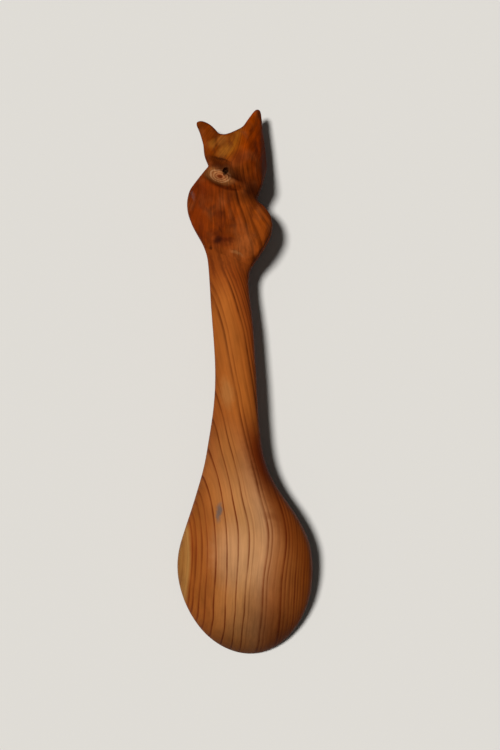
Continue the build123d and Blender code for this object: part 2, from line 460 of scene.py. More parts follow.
# %% Pare the head
HEAD_OUTLINE = [  # across and along, in mm, from the jaw up the cheek, over both ears and down the neck
    (-5.8, 225.6), (-7.5, 230.2), (-7.5, 235.0), (-9.0, 241.0), (-10.8, 245.4), (-8.8, 246.2),
    (-6.2, 245.4), (-3.6, 243.6), (-1.6, 241.3), (-0.3, 239.0), (2.4, 238.4), (5.0, 238.8),
    (8.7, 240.2), (10.7, 241.2), (12.8, 244.4), (15.6, 248.2), (17.4, 250.4), (21.4, 249.9),
    (21.2, 246.4), (19.6, 241.0), (21.5, 230.0), (21.0, 223.4), (18.0, 215.2), (14.6, 207.8),
    (12.2, 212.0), (9.5, 216.0), (5.0, 219.0), (0.5, 221.5), (-3.5, 223.4),
]
CUTS = {  # a place on the plane, across, along and up in mm, and the way that the pared face looks
    "face": ((12.6, 228, 23.6), (-0.28, 0.10, 0.95)),
    "chin": ((-2.5, 228.5, 19.1), (-0.57, -0.55, 0.61)),
    "right side": ((12.6, 228, 23.6), (0.74, 0.14, 0.67)),
    "right flank": ((18.0, 228, 17.6), (0.93, 0.05, 0.36)),
    "brow": ((8, 236, 21.8), (0, 0.36, 0.93)),
    "ears": ((8, 242, 19.0), (0, 0.56, 0.83)),
    "neck": ((12, 222, 22.5), (0.1, -0.35, 0.93)),
    "left back": ((6, 230, 1.8), (-0.45, 0.05, -0.90)),
    "right back": ((6, 230, 1.8), (0.45, 0.05, -0.90)),
    "back of the ears": ((8, 237, 3.0), (0, 0.42, -0.90)),
}
CUT_SHARPNESS = 0.001  # mm within which a point counts as on the plane


def pare(piece, place, look):
    """Takes off what lies beyond a plane, in the direction that it looks, and closes the cut."""
    work_on(piece)
    bpy.ops.object.mode_set(mode="EDIT")
    bpy.ops.mesh.select_all(action="SELECT")
    bpy.ops.mesh.bisect(
        plane_co=place, plane_no=look, use_fill=True, clear_outer=True, threshold=CUT_SHARPNESS * MM
    )
    bpy.ops.object.mode_set(mode="OBJECT")


head = saw_board(HEAD_OUTLINE)
for place, look in CUTS.values():
    pare(head, spot(*place), look)
melt([head], voxel=0.5, passes=14)
print(len(CUTS), "cuts, head has", len(head.data.polygons), "faces,", in_mm(head.dimensions), "mm")

# %% [markdown]
# ## One carving
#
# On the real spoon the cutting runs from the stem over the cat's feet without a step, so the three forms
# are melted into one skin and smoothed together. A gouge cuts the groove between neck and haunch and the
# nape behind it, and a slow swell of about a tenth of a millimetre is added, as hand work leaves it.
#
# Two small marks follow, a shallow chip over the feet and the pit of a fallen-out knot at the throat. The
# chip is cut. The pit is pressed in by moving points down, because a cut so small left stray slivers of
# skin. At last the back is pared flat where the carving rests.

# %% Melt, smooth and swell
NECK_GROOVE = {"middle": (11.6, 213.4, 25.2), "half": (9.0, 3.2, 6.0), "lean": -53}
NAPE = {"middle": (4.5, 216.5, 0.0), "half": (20.0, 5.0, 5.0), "lean": -39.7}
SWELL = 0.25  # mm from the lowest to the highest place
SWELL_WIDTH = 18  # mm from one swelling to the next

melt([body, head], voxel=0.5, passes=12)
cut_away(body, add_ball(**NECK_GROOVE))
cut_away(body, add_ball(**NAPE))
melt([carving, body], voxel=0.5, passes=12)

hand_work = bpy.data.textures.new("hand_work", "CLOUDS")
hand_work.noise_scale = SWELL_WIDTH * MM
hand_work.noise_depth = 1
finish_with(carving, "DISPLACE", texture=hand_work, texture_coords="LOCAL", strength=SWELL * MM)
print("carving has", len(carving.data.polygons), "faces,", in_mm(carving.dimensions), "mm")

# %% Chip, pit and resting face
CHIP = {"middle": (4.7, 184.5, 21.6), "half": (4.2, 1.3, 1.5), "lean": -27, "segments": 32}
PIT = (2.0, 222.0)  # across and along, in mm
PIT_OVAL = 1.25  # how much wider than long it is
PIT_STEPS = [(1.25, 0.6), (1.05, 0.7), (0.8, 0.6)]  # half its length and how much deeper it gets, in mm
PIT_BORDER = 2  # the skin is made finer within this many half lengths
FRONT_FROM = 10  # mm above the floor, between the front of the neck and its back


def in_pit(place, reach):
    """Whether a place on the front lies within some mm of the pit's middle."""
    across = (place.x / MM - PIT[0]) / PIT_OVAL
    along = (place.y - tip_y) / MM - PIT[1]
    return place.z > FRONT_FROM * MM and across ** 2 + along ** 2 < reach ** 2


cut_away(carving, add_ball(**CHIP))
bpy.ops.object.mode_set(mode="EDIT")
pick(lambda p: in_pit(p, PIT_BORDER * PIT_STEPS[0][0]))
bpy.ops.mesh.subdivide(number_cuts=1)
for reach, depth in PIT_STEPS:
    pick(lambda p: in_pit(p, reach))
    bpy.ops.transform.translate(value=(0, 0, -depth * MM))
bpy.ops.object.mode_set(mode="OBJECT")
print("lowest before paring", round(min(v.co.z for v in carving.data.vertices) / MM, 2), "mm")
pare(carving, spot(0, 0, 0), (0, 0, -1))

# %% [markdown]
# ## The joint at the cat's feet
#
# The cat is a second block, glued and pegged to the stem and then carved with it. So the finished skin is
# sawn in two at the glue line, which crosses the stem at a slant, and each half is bored for the peg. The
# peg itself is plain and hidden, so its CAD node serves as it is.

# %% Saw and bore
PEG_ACROSS = 1.0
PEG_HEIGHT = 12.8
PEG_HOLE = 3.05  # radius in mm
PEG_ENDS = (164.95, 201.05)
PEG_SIDES = 48
JOINT_ALONG = 183.0
JOINT_TURN = 24  # degrees between the glue line and a square cut
SOFT_EDGE = 40  # degrees between two faces, up to which they are shaded as one
joint = spot(PEG_ACROSS, JOINT_ALONG, PEG_HEIGHT)
peg_middle = spot(PEG_ACROSS, sum(PEG_ENDS) / 2, PEG_HEIGHT)
towards_cat = Vector((sin(radians(JOINT_TURN)), cos(radians(JOINT_TURN)), 0))

work_on(carving)
bpy.ops.object.duplicate()
carved_cat = bpy.context.object
carved_cat.name = "carved_cat"
carving.name = "carved_spoon"

for piece, look in ((carving, towards_cat), (carved_cat, -towards_cat)):
    pare(piece, joint, look)
    bpy.ops.mesh.primitive_cylinder_add(
        vertices=PEG_SIDES, radius=PEG_HOLE * MM, depth=(PEG_ENDS[1] - PEG_ENDS[0]) * MM,
        location=peg_middle, rotation=(radians(90), 0, 0),
    )
    bpy.ops.object.transform_apply()
    cut_away(piece, bpy.context.object)
    bpy.ops.object.shade_smooth_by_angle(angle=radians(SOFT_EDGE))
    triangles = sum(len(face.vertices) - 2 for face in piece.data.polygons)
    print(piece.name, triangles, "triangles", in_mm(piece.dimensions), "mm")

# %% [markdown]
# ## Oiled yew
#
# Yew grows in rings of pale early wood that end in a thin, dark, reddish line of late wood. The spoon is
# sawn along them, so they show as long lines. An image could be wrapped round it, but then the lines would
# not run through the wood from the back of the bowl into its hollow. So the rings are layers in space: a
# field says how far across the layers each place lies, in millimetres, and all the rest is read from that
# one number.
#
# In the spoon the layers lean back a little, bow in the bowl and sweep to the left along the stem.

# %% A wood's place and its bends
NOISE_SWING = 4  # noise strays about a quarter to each side of its middle


def start_wood(name):
    """A new material, its nodes, and the place in mm from the bowl's tip, whole and as x, y and z."""
    material = bpy.data.materials.new(name)
    material.use_nodes = True
    tree = material.node_tree
    place = add(tree, "TexCoord", {}).node.outputs["Object"]
    place = add(tree, "Mapping", {"Vector": place, "Scale": [1 / MM] * 3, "Location": (0, -tip_y / MM, 0)})
    return material, tree, place, add(tree, "SeparateXYZ", {"Vector": place}).node.outputs


def bend(tree, place, field, across, along, amount):
    """Bends the layers by up to an amount to each side, in waves as wide and long as given, in mm."""
    stretch = [1 / across, 1 / along, 1 / across]
    waves = add(tree, "VectorMath", {0: place, 1: stretch}, operation="MULTIPLY")
    waves = add(tree, "TexNoise", {"Vector": waves, "Scale": 1.0, "Detail": 1.0})
    waves = add(tree, "Math", {0: waves, 1: 0.5}, operation="SUBTRACT")
    return add(tree, "Math", {0: waves, 1: NOISE_SWING * amount, 2: field}, operation="MULTIPLY_ADD")


# Carved, sanded and oiled yew gives the eye long dark lines on a warm ground, under a satin skin.
spoon_wood, tree, place, (x, y, z) = start_wood("oiled_yew_carved_and_sanded")
print("started", spoon_wood.name)

# %% Layers of the spoon
LEAN_BACK = 0.3  # mm across the layers for each mm of height
BULGE = 2.2  # mm that they are pushed to the right, at the right of the bowl's middle
BULGE_MIDDLE = (13, 57, 18)
BULGE_HALF = (24, 24, 60)
GENTLY = {"interpolation_type": "SMOOTHSTEP"}  # a change that starts and ends gently
SWEEP_SPAN = 60.0
SWEEP_LENGTH = 200.0
SWEEP = [  # along the spoon, and how far the layers have swept to the left there, in mm
    (0, 0.6), (20, 1.2), (35, 0.8), (50, -0.5), (70, -1.3), (90, 1.8), (110, 5.4), (130, 8.4), (150, 11.0),
    (165, 14.0), (178, 18.0), (200, 25.0),
]


def oval(tree, place, middle, half, turn=0, shift=0):
    """How far each place lies from an oval's middle, in half sizes. The shift goes up and right."""
    place = add(tree, "Mapping", {
        "Vector": place, "Location": (middle[0] + shift, middle[1] + shift, middle[2]),
        "Rotation": (0, 0, radians(turn)), "Scale": half,
    }, vector_type="TEXTURE")
    return add(tree, "VectorMath", {0: place}, operation="LENGTH").node.outputs["Value"]


sweep_stops = [(along / SWEEP_LENGTH, [left / SWEEP_SPAN + 0.5] * 3 + [1]) for along, left in SWEEP]
sweep = add(tree, "Math", {0: y, 1: 1 / SWEEP_LENGTH}, operation="MULTIPLY")
sweep = add(tree, "ValToRGB", {"Fac": sweep}, stops=sweep_stops, between="B_SPLINE")
sweep = add(tree, "Math", {0: sweep, 1: 0.5}, operation="SUBTRACT")
bulge = add(tree, "MapRange", {
    "Value": oval(tree, place, BULGE_MIDDLE, BULGE_HALF), "To Min": BULGE, "To Max": 0.0,
}, **GENTLY)

field = add(tree, "Math", {0: z, 1: -LEAN_BACK, 2: x}, operation="MULTIPLY_ADD")
field = add(tree, "Math", {0: sweep, 1: SWEEP_SPAN, 2: field}, operation="MULTIPLY_ADD")
field = add(tree, "Math", {0: field, 1: bulge}, operation="SUBTRACT")
field = bend(tree, place, field, across=40, along=70, amount=0.6)
field = bend(tree, place, field, across=16, along=34, amount=0.35)
field = bend(tree, place, field, across=7, along=22, amount=0.18)
print("layers lean", LEAN_BACK, "and sweep", SWEEP[-1][1], "mm to the left")

# %% [markdown]
# ### Rings
#
# Each ring has its own width and its own line, darker or fainter, with a sharp edge on the outside and a
# fade on the inside. A wave texture would make them all alike, so a list names each line. One colour ramp
# counts the rings from the field, and a second one keeps a ring's width, darkness and fade in its three
# channels.

# %% Where a place lies in its ring
WIDEST_RING = 10.0
LONGEST_FADE = 4.0


def ring_traits(tree, field, rings, edge):
    """How far through its ring each place is, from 0 to 1, and that ring's width, darkness and fade."""
    first = rings[0][0]
    span = rings[-1][0] - first
    steps = len(rings) - 1
    counts = [((at - first) / span, [step / steps] * 3 + [1]) for step, (at, _, _) in enumerate(rings)]
    traits = []
    for (start, _, _), (end, dark, fade) in zip(rings, rings[1:]):
        traits.append(((start - first) / span, [(end - start) / WIDEST_RING, dark, fade / LONGEST_FADE, 1]))
    share = add(tree, "MapRange", {
        "Value": field, "From Min": first + edge, "From Max": first + edge + span,
    })
    number = add(tree, "ValToRGB", {"Fac": share}, stops=counts)
    number = add(tree, "Math", {0: number, 1: steps}, operation="MULTIPLY")
    through = add(tree, "Math", {0: number}, operation="FRACT")
    trait = add(tree, "ValToRGB", {"Fac": share}, stops=traits, between="CONSTANT")
    width, dark, fade = add(tree, "SeparateColor", {"Color": trait}).node.outputs
    width = add(tree, "Math", {0: width, 1: WIDEST_RING}, operation="MULTIPLY")
    fade = add(tree, "Math", {0: fade, 1: LONGEST_FADE, 2: edge}, operation="MULTIPLY_ADD")
    return through, width, dark, fade


print("rings up to", WIDEST_RING, "mm wide, fades up to", LONGEST_FADE, "mm long")

# %% Draw the rings
RING_SHADE = 0.2  # how much a ring darkens on the way to its line
LINE_PATCH = (6, 16, 6)  # mm across, along and deep, in which a line stays as dark
LINE_NOISE = (0.3, 0.6)
LINE_LEAST = 0.5  # what is left of a line where it is faintest


def draw_rings(tree, place, field, rings, edge):
    """How dark the wood is, from 0 to 1: a line at the end of each ring, as sharp as its edge in mm."""
    through, width, dark, fade = ring_traits(tree, field, rings, edge)
    left = add(tree, "Math", {0: 1.0, 1: through}, operation="SUBTRACT")
    left = add(tree, "Math", {0: left, 1: width}, operation="MULTIPLY")
    line = add(tree, "MapRange", {
        "Value": left, "From Min": edge, "From Max": fade, "To Min": 1.0, "To Max": 0.0,
    }, **GENTLY)
    rise = add(tree, "MapRange", {"Value": left, "From Max": edge}, **GENTLY)
    line = add(tree, "Math", {0: line, 1: rise}, operation="MULTIPLY")
    slow = add(tree, "Math", {0: through, 1: 2.0}, operation="POWER")
    slow = add(tree, "Math", {0: slow, 1: rise}, operation="MULTIPLY")
    line = add(tree, "Math", {0: slow, 1: RING_SHADE, 2: line}, operation="MULTIPLY_ADD")
    patchy = add(tree, "VectorMath", {0: place, 1: [1 / size for size in LINE_PATCH]}, operation="MULTIPLY")
    patchy = add(tree, "TexNoise", {"Vector": patchy, "Scale": 1.0, "Detail": 3.0})
    patchy = add(tree, "MapRange", {
        "Value": patchy, "From Min": LINE_NOISE[0], "From Max": LINE_NOISE[1], "To Min": LINE_LEAST,
    })
    dark = add(tree, "Math", {0: dark, 1: patchy}, operation="MULTIPLY")
    return add(tree, "Math", {0: line, 1: dark}, operation="MULTIPLY", use_clamp=True)


SPOON_EDGE = 0.4  # mm from a line's middle to the next ring's pale wood
SPOON_RINGS = [  # across the layers in mm, how dark the line is from 0 to 1, and its fade inwards in mm
    (-36.5, 0.3, 0.8), (-34.8, 0.3, 0.6), (-33.2, 0.3, 0.6), (-31.6, 0.25, 0.4), (-29.6, 0.7, 0.5),
    (-28.1, 0.8, 0.8), (-25.8, 0.8, 0.8), (-23.5, 0.75, 0.7), (-20.0, 0.95, 0.8), (-15.0, 0.95, 0.7),
    (-10.4, 0.95, 0.7), (-6.2, 0.75, 0.8), (-4.4, 0.3, 0.6), (2.0, 0.75, 1.4), (3.7, 0.6, 1.0),
    (7.2, 0.25, 1.4), (10.6, 0.9, 1.5), (12.2, 0.7, 0.9), (14.2, 0.55, 1.2), (15.6, 0.45, 0.9),
    (17.0, 0.95, 1.2), (18.4, 0.7, 0.9), (20.0, 0.55, 1.1), (21.6, 0.95, 1.3), (23.2, 0.6, 0.9),
    (24.9, 0.6, 1.1), (26.5, 0.9, 1.4), (29.0, 0.75, 1.2), (31.5, 0.85, 1.4), (35.0, 0.75, 1.4),
    (38.0, 0.75, 1.4),
]
rings = draw_rings(tree, place, field, SPOON_RINGS, SPOON_EDGE)
print(len(SPOON_RINGS), "rings over", SPOON_RINGS[-1][0] - SPOON_RINGS[0][0], "mm")

# %% [markdown]
# ### Tones
#
# The heartwood is tan to orange-brown and darker to the right, where the bowl's darkest tones are partly
# painted shade on its right flank, and a lens of olive-cream sapwood is left at the bowl's left edge. The
# stem has taken more oil and handling, so it is more orange. Each has its own ramp of tones across the
# layers, and one turns into the other along the shoulder.

# %% Tones of the spoon
BOWL_TONES = [  # across the layers in mm, and the early wood's colour; the darkest tones at the right are partly painted shade
    (-36, "8e5c28"), (-32.4, "986430"), (-31.2, "a4743c"), (-29.8, "8e4a1a"), (-27, "92501e"),
    (-22, "945222"), (-19.5, "a0602c"), (-15, "aa6c38"), (-8, "b47c48"), (0, "b88458"), (5, "a4683c"),
    (10, "965628"), (16, "92501f"), (22, "884414"), (30, "7a3a0c"), (38, "6a3008"),
]
STEM_TONES = [
    (-25, "804016"), (-12, "86441a"), (-4, "96501e"), (2, "a45a22"), (6, "a85c22"), (10, "a6561e"),
    (14, "9a4818"), (20, "8c3e12"),
]
SHOULDER = (60, 116)  # where the bowl's tones begin to turn, and where the stem's are reached
STEM_TOP = "7c330a"
STEM_TOP_FROM = (164, 187)  # where the stem begins to darken towards the cat, and where it has
BOWL_LATE_WOOD = "6a2b0e"
STEM_LATE_WOOD = "5e280a"


def tone(tree, field, tones):
    """The early wood's colour across the layers."""
    first = tones[0][0]
    span = tones[-1][0] - first
    share = add(tree, "MapRange", {"Value": field, "From Min": first, "From Max": first + span})
    stops = [((at - first) / span, linear(colour)) for at, colour in tones]
    return add(tree, "ValToRGB", {"Fac": share}, stops=stops)


def turn_into(tree, measure, limits, before, after):
    """One colour that turns into another between two limits of a measure."""
    share = add(tree, "MapRange", {
        "Value": measure, "From Min": limits[0], "From Max": limits[1],
    }, **GENTLY)
    return add(tree, "MixRGB", {"Fac": share, "Color1": before, "Color2": after})


colour = turn_into(tree, y, SHOULDER, tone(tree, field, BOWL_TONES), tone(tree, field, STEM_TONES))
colour = turn_into(tree, y, STEM_TOP_FROM, colour, linear(STEM_TOP))
late = turn_into(tree, y, SHOULDER, linear(BOWL_LATE_WOOD), linear(STEM_LATE_WOOD))
print(len(BOWL_TONES), "tones in the bowl and", len(STEM_TONES), "in the stem")

# %% [markdown]
# ### Patches, stains, painted shade and a painted reflection
#
# Wood is never even: broad patches are paler or deeper, and handling leaves stains. They could be painted
# on, but ovals in space are easier to move. A patch goes under the rings, and a stain lies over them.
# Painted shade darkens the rings with it, on the right of the shoulder and the bowl and towards the tip.
# The crown's pale patch is partly a painted sheen, and a grey mark on the bowl is a painted reflection. The
# stains at the feet cross the joint, so the cat's wood uses them too.

# %% Marks and painted shade of the spoon
WOBBLE = 2.4  # mm that the edge of a mark wanders from side to side
WOBBLES = 0.45  # how many times in a mm
MARK_EDGE = (0.25, 1.1)  # where a mark begins to fade and where it is gone, in half sizes


def wander(tree, place, amount, times, detail):
    """Moves each place right and up by as much as an amount in mm, so that edges come out uneven."""
    noise = add(tree, "TexNoise", {"Vector": place, "Scale": times, "Detail": detail}).node.outputs["Color"]
    return add(tree, "VectorMath", {0: noise, 1: [amount, amount, 0], 2: place}, operation="MULTIPLY_ADD")


def mark(tree, place, colour, marks, blend="MIX"):
    """Soft ovals of another colour, with edges that are a little uneven."""
    uneven = wander(tree, place, WOBBLE, WOBBLES, detail=2.0)
    for middle, half, turn, stain, amount in marks:
        cover = add(tree, "MapRange", {
            "Value": oval(tree, uneven, middle, half, turn, WOBBLE / 2),
            "From Min": MARK_EDGE[0], "From Max": MARK_EDGE[1], "To Min": amount, "To Max": 0.0,
        }, **GENTLY)
        mixed = {"Fac": cover, "Color1": colour, "Color2": linear(stain)}
        colour = add(tree, "MixRGB", mixed, blend_type=blend)
    return colour


PATCHES = [  # the place in mm, its half sizes in mm, its turn in degrees, the colour and how much of it
    ((-6.0, 172.0, 16), (7.0, 15, 12), 0, "74300c", 0.4),  # the stem's top left
    ((-3.4, 122.0, 21), (4.0, 9.0, 8), 5, "b0753e", 0.5),  # low on the stem
    ((-4.0, 96.0, 21), (6.5, 15, 9), 8, "b06c30", 0.4),  # the shoulder
    ((-4.0, 50.0, 22), (13, 20, 12), 0, "c8986e", 0.45),  # the crown of the bowl: paler wood, partly a painted sheen
]
PAINTED_SHADE = [  # painted shade: here the colour is what the wood is multiplied by
    ((8.8, 92.0, 16), (7.8, 27, 14), 14, "985400", 0.9),  # the right of the shoulder
    ((18.5, 66.0, 16), (8.0, 30, 18), 19, "b68100", 0.65),  # the bowl's right flank
    ((6.5, 26.0, 14), (14, 19, 18), 0, "b0894b", 0.6),  # below the crown
    ((4.0, 2.0, 6), (40, 38, 24), 0, "8f734e", 0.8),  # towards the tip
]
FEET_STAINS = [
    ((0.0, 184.0, 14), (18, 8.0, 14), -24, "8a4216", 0.75),  # a band along the joint
    ((-6.6, 180.0, 17), (1.3, 9.0, 8), 8, "5a240c", 0.6),  # four streaks that cross it
    ((-2.6, 181.0, 19), (1.0, 9.0, 8), 14, "60280c", 0.6),
    ((1.6, 178.0, 19), (0.9, 11.0, 8), 18, "5e260c", 0.4),
    ((5.6, 179.0, 19), (0.9, 9.0, 8), 20, "58240c", 0.4),
    ((-2.6, 190.0, 21), (7.0, 3.9, 10), 0, "5e220a", 0.55),  # above the feet
]
SPOON_MARKS_AND_PAINTED_GLINT = FEET_STAINS + [
    ((-22.0, 52, 15), (3.2, 11, 9), 6, "80320e", 0.6),  # red streaks beside the sapwood
    ((-23.5, 43, 12), (2.2, 6, 9), 0, "8a3c14", 0.4),
    ((12.8, 66.0, 23.6), (4.8, 2.2, 4), -12, "6a2c0a", 0.3),  # a smudge across the lines
    ((-9.8, 69.3, 24.5), (1.9, 5.6, 3.6), -12, "62544e", 0.85),  # a painted reflection: a grey glint
]

colour = mark(tree, place, colour, PATCHES)
colour = add(tree, "MixRGB", {"Fac": rings, "Color1": colour, "Color2": late})
# Painted shade over the rings, on the right flank and towards the tip.
colour = mark(tree, place, colour, PAINTED_SHADE, "MULTIPLY")
colour = mark(tree, place, colour, SPOON_MARKS_AND_PAINTED_GLINT)
print(len(PATCHES) + len(PAINTED_SHADE), "patches and", len(SPOON_MARKS_AND_PAINTED_GLINT), "marks")

# %% [markdown]
# ### Fibres and oil
#
# Between the rings the fibres show as fine streaks about a millimetre wide, and the wood is a little
# uneven from place to place. One stretched noise gives both the streaks' colour and their relief. Oil
# rubbed into the sanded wood leaves a satin skin: it is dull over the streaks and shines a little more
# between them. End grain drinks more oil and turns darker; that darkening of faces which look along the
# spoon is also partly painted shade, as at the bowl's tip.

# %% Fibres
STREAK_SHAPE = (1, 24, 4)  # how wide, long and deep a streak is, in streak widths
BLOTCH_SHAPE = (1, 2, 1)
FIBRE_NOISE = (0.7, 1.3)  # the two noises together, where the wood is darkest and where it is lightest


def weather(tree, place, field, colour, streak, blotch, depth):
    """Streaks along the layers and blotches, as wide as given in mm. Returns the colour and the streaks."""
    _, y, z = add(tree, "SeparateXYZ", {"Vector": place}).node.outputs
    fibre = add(tree, "CombineXYZ", {"X": field, "Y": y, "Z": z})
    noises = []
    for where, width, shape in ((fibre, streak, STREAK_SHAPE), (place, blotch, BLOTCH_SHAPE)):
        stretch = [1 / (width * times) for times in shape]
        noise = add(tree, "VectorMath", {0: where, 1: stretch}, operation="MULTIPLY")
        noises.append(add(tree, "TexNoise", {
            "Vector": noise, "Scale": 1.0, "Detail": 3.0, "Roughness": 0.6,
        }))
    both = add(tree, "Math", {0: noises[0], 1: noises[1]}, operation="ADD")
    light = add(tree, "MapRange", {
        "Value": both, "From Min": FIBRE_NOISE[0], "From Max": FIBRE_NOISE[1],
        "To Min": 1 - depth, "To Max": 1 + depth,
    })
    return add(tree, "VectorMath", {0: colour, "Scale": light}, operation="SCALE"), noises[0]


colour, streaks = weather(tree, place, field, colour, streak=0.9, blotch=12, depth=0.2)
print("streaks", STREAK_SHAPE[1], "times as long as wide")

# %% Surface
END_GRAIN_AND_SHADE = "bca488"  # what is left of the colour on end grain, partly as painted shade
END_GRAIN_AND_SHADE_FROM = (0.5, 0.95)  # how squarely a face looks along the fibres: a little darker, and fully
OIL_TINT = "f0b878"  # the sheen is warm, because the oil has yellowed
STREAK_NOISE = (0.3, 0.7)
DULLING = 0.06  # how much rougher a streak is than the average, and smoother the wood beside it
RELIEF = 0.03  # mm between a streak and the wood beside it
RELIEF_STRENGTH = 0.35


def surface(tree, colour, streaks, roughness, shine):
    """The wood's surface: satin, duller in the streaks, and darker where the fibres end, partly as painted
    shade.
    """
    shader = tree.nodes["Principled BSDF"]
    facing = add(tree, "TexCoord", {}).node.outputs["Normal"]
    facing = add(tree, "SeparateXYZ", {"Vector": facing}).node.outputs["Y"]
    facing = add(tree, "Math", {0: facing}, operation="ABSOLUTE")
    end_grain_and_shade = add(tree, "MapRange", {
        "Value": facing, "From Min": END_GRAIN_AND_SHADE_FROM[0], "From Max": END_GRAIN_AND_SHADE_FROM[1],
    })
    colour = add(tree, "MixRGB", {
        "Fac": end_grain_and_shade, "Color1": colour, "Color2": linear(END_GRAIN_AND_SHADE),
    }, blend_type="MULTIPLY")
    dull = add(tree, "MapRange", {
        "Value": streaks, "From Min": STREAK_NOISE[0], "From Max": STREAK_NOISE[1],
        "To Min": roughness - DULLING, "To Max": roughness + DULLING,
    })
    relief = add(tree, "Bump", {"Height": streaks, "Strength": RELIEF_STRENGTH, "Distance": RELIEF * MM})
    tree.links.new(colour, shader.inputs["Base Color"])
    tree.links.new(dull, shader.inputs["Roughness"])
    tree.links.new(relief, shader.inputs["Normal"])
    shader.inputs["Specular IOR Level"].default_value = shine
    shader.inputs["Specular Tint"].default_value = linear(OIL_TINT)


surface(tree, colour, streaks, roughness=0.58, shine=0.06)
print(spoon_wood.name, "has", len(tree.nodes), "nodes")

# %% [markdown]
# ## The cat's wood
#
# The cat is the same yew from nearer the heart: redder, darker, and full of changes round a pin knot that
# the carver has set at the throat. The layers crowd together beside the knot, fan out below it over the
# haunch, and swirl across the face, because the face is pared at a slant to them. So its field is squeezed
# round the knot and slanted on the face.

# %% Layers of the cat
KNOT = (-0.6, 220.0, 16.0)
CROWDING = 1.2  # how much closer together the layers lie beside the knot
CROWD_REACH = 19.0
FEET_AT = 190.0
FALL = 0.05  # mm to the right for each mm down
FACE_FROM = 225.0
HEAD_TOP = 250.0
SWIRL = 1.6  # mm across the layers for each mm up the face
SWIRL_EDGES = (5, 13)  # across the face, where the swirl begins to die out and where it is gone

# Heartwood, carved and oiled but less sanded: dark red-brown, uneven, and duller than the spoon.
cat_wood, tree, place, (x, y, _) = start_wood("oiled_yew_heartwood_carved")

near = add(tree, "MapRange", {
    "Value": y, "From Min": KNOT[1] - CROWD_REACH, "From Max": KNOT[1] + CROWD_REACH,
    "To Min": -1.0, "To Max": 1.0,
}, clamp=False)
near = add(tree, "Math", {0: near, 1: near}, operation="MULTIPLY")
near = add(tree, "Math", {0: near, 1: -1.0}, operation="MULTIPLY")
near = add(tree, "Math", {0: near}, operation="EXPONENT")
near = add(tree, "Math", {0: near, 1: CROWDING, 2: 1.0}, operation="MULTIPLY_ADD")
down = add(tree, "Math", {0: y, 1: FEET_AT}, operation="SUBTRACT")
up_face = add(tree, "MapRange", {
    "Value": y, "From Min": FACE_FROM, "From Max": HEAD_TOP, "To Max": SWIRL * (FACE_FROM - HEAD_TOP),
})
on_face = add(tree, "MapRange", {
    "Value": x, "From Min": SWIRL_EDGES[0], "From Max": SWIRL_EDGES[1], "To Min": 1.0, "To Max": 0.0,
}, **GENTLY)

field = add(tree, "Math", {0: x, 1: near}, operation="MULTIPLY")
field = add(tree, "Math", {0: down, 1: FALL, 2: field}, operation="MULTIPLY_ADD")
field = add(tree, "Math", {0: up_face, 1: on_face, 2: field}, operation="MULTIPLY_ADD")
field = bend(tree, place, field, across=16, along=26, amount=1.2)
field = bend(tree, place, field, across=7, along=13, amount=0.6)
print("knot at", KNOT)

# %% Rings and tones of the cat
CAT_EDGE = 0.9
CAT_RINGS = [
    (-30, 0.15, 2.6), (-21, 0.2, 2.6), (-13.8, 0.3, 2.6), (-7.5, 0.3, 2.4), (-1.2, 0.4, 2.4),
    (1.4, 0.3, 1.6), (5.9, 0.7, 2.4), (8.6, 0.3, 2.0), (12.4, 0.85, 2.4), (17.0, 0.55, 2.4),
    (20.4, 0.35, 2.4), (24.0, 0.6, 2.4), (29.0, 0.5, 2.4), (33.0, 0.4, 2.4), (38.0, 0.45, 2.4),
    (44.0, 0.45, 2.4),
]
BODY_TONES = [
    (-28, "702804"), (-14, "782c06"), (-7, "7e3208"), (0, "7a3008"), (4.5, "843608"), (8, "883a0c"),
    (14, "924210"), (19, "9c4812"), (25, "8a3c0a"), (34, "702a04"),
]
HEAD_TONES = [
    (-14, "6e2c02"), (-5.5, "783c0a"), (3, "82460c"), (11, "803a06"), (16, "863602"), (25, "943800"),
    (33, "923400"), (44, "802e00"),
]
NECK = (222, 231)
HEART_LATE_WOOD = "401604"
HEAD_LINES = 0.6  # what is left of the lines on the head

rings = draw_rings(tree, place, field, CAT_RINGS, CAT_EDGE)
colour = turn_into(tree, y, NECK, tone(tree, field, BODY_TONES), tone(tree, field, HEAD_TONES))
calm = add(tree, "MapRange", {
    "Value": y, "From Min": NECK[0], "From Max": NECK[1], "To Min": 1.0, "To Max": HEAD_LINES,
})
rings = add(tree, "Math", {0: rings, 1: calm}, operation="MULTIPLY")
colour = add(tree, "MixRGB", {"Fac": rings, "Color1": colour, "Color2": linear(HEART_LATE_WOOD)})
print(len(CAT_RINGS), "rings in the cat")

# %% Blotches and flecks
CLOUDS = [  # colour, size in mm, shift, detail, distortion, limits of the noise, and how much of the colour
    ("46190a", (5, 9, 5), (0, 0, 0), 3.0, 0.5, (0.48, 0.72), 0.65),  # dark blotches
    ("98542a", (7, 10, 7), (31, 17, 5), 2.0, 0.0, (0.46, 0.74), 0.3),  # paler flecks
]

for stain, size, shift, detail, distortion, limits, amount in CLOUDS:
    cloud = add(tree, "VectorMath", {
        0: place, 1: [1 / length for length in size], 2: shift,
    }, operation="MULTIPLY_ADD")
    cloud = add(tree, "TexNoise", {
        "Vector": cloud, "Scale": 1.0, "Detail": detail, "Distortion": distortion,
    })
    cloud = add(tree, "MapRange", {
        "Value": cloud, "From Min": limits[0], "From Max": limits[1], "To Max": amount,
    }, **GENTLY)
    colour = add(tree, "MixRGB", {"Fac": cloud, "Color1": colour, "Color2": linear(stain)})
print(len(CLOUDS), "clouds of colour")

